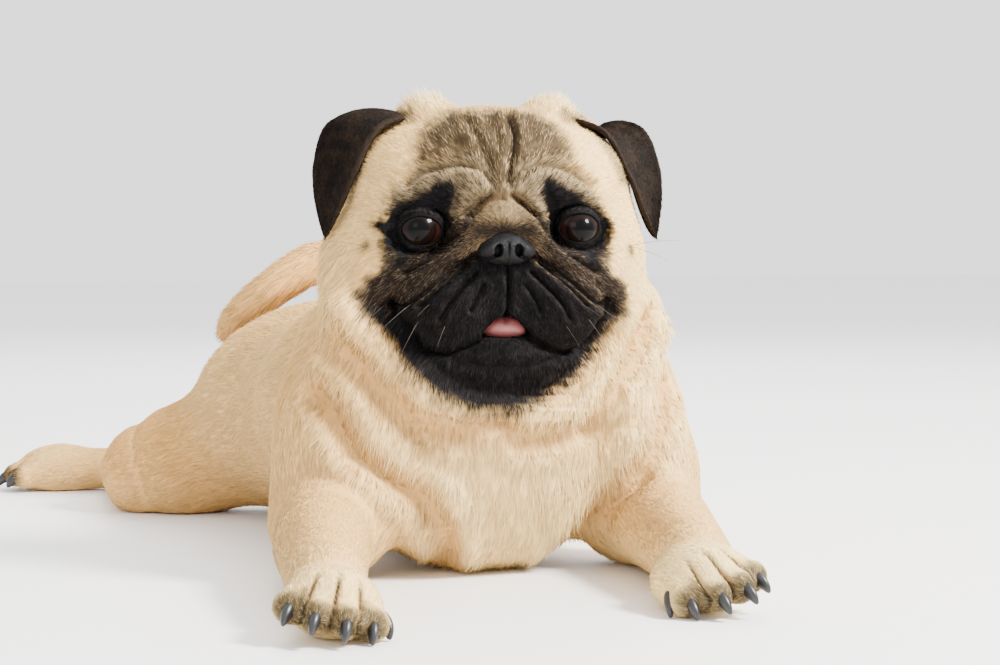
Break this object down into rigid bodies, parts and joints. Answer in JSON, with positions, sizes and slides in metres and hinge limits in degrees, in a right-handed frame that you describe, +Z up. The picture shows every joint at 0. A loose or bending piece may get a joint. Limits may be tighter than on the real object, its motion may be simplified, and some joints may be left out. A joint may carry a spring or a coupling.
{
  "type": "pug",
  "caption": "Still life-size model of a fawn pug lying on its belly, head up, forelegs forward and hind legs stretched out behind.",
  "frame": {"origin": "on the floor, at the front of the flat where the breastbone rests", "axes": "the animal faces -Y with its tail towards +Y, its left side is +X, and +Z is up"},
  "size_m": [0.3429, 0.6768, 0.2338],
  "materials": {
    "coat": "short dense fur, cream to apricot fawn",
    "mask": "short black fur of the mask",
    "ear": "black velvety fur",
    "nose": "moist grained black nose leather",
    "eye": "wet dark brown eye",
    "tongue": "moist pink",
    "claw": "slate black horn"
  },
  "bodies": {
    "root": {"head": "coat", "nose": "nose", "lower_jaw": "mask", "tongue": "tongue", "eye_right": "eye", "eye_left": "eye", "ear_right": "ear", "ear_left": "ear", "neck": "coat", "torso": "coat", "upper_foreleg_right": "coat", "forearm_right": "coat", "forepaw_right": "coat", "upper_foreleg_left": "coat", "forearm_left": "coat", "forepaw_left": "coat", "thigh_right": "coat", "shank_right": "coat", "hind_foot_right": "coat", "thigh_left": "coat", "shank_left": "coat", "hind_foot_left": "coat", "tail": "coat"}
  },
  "joints": []
}
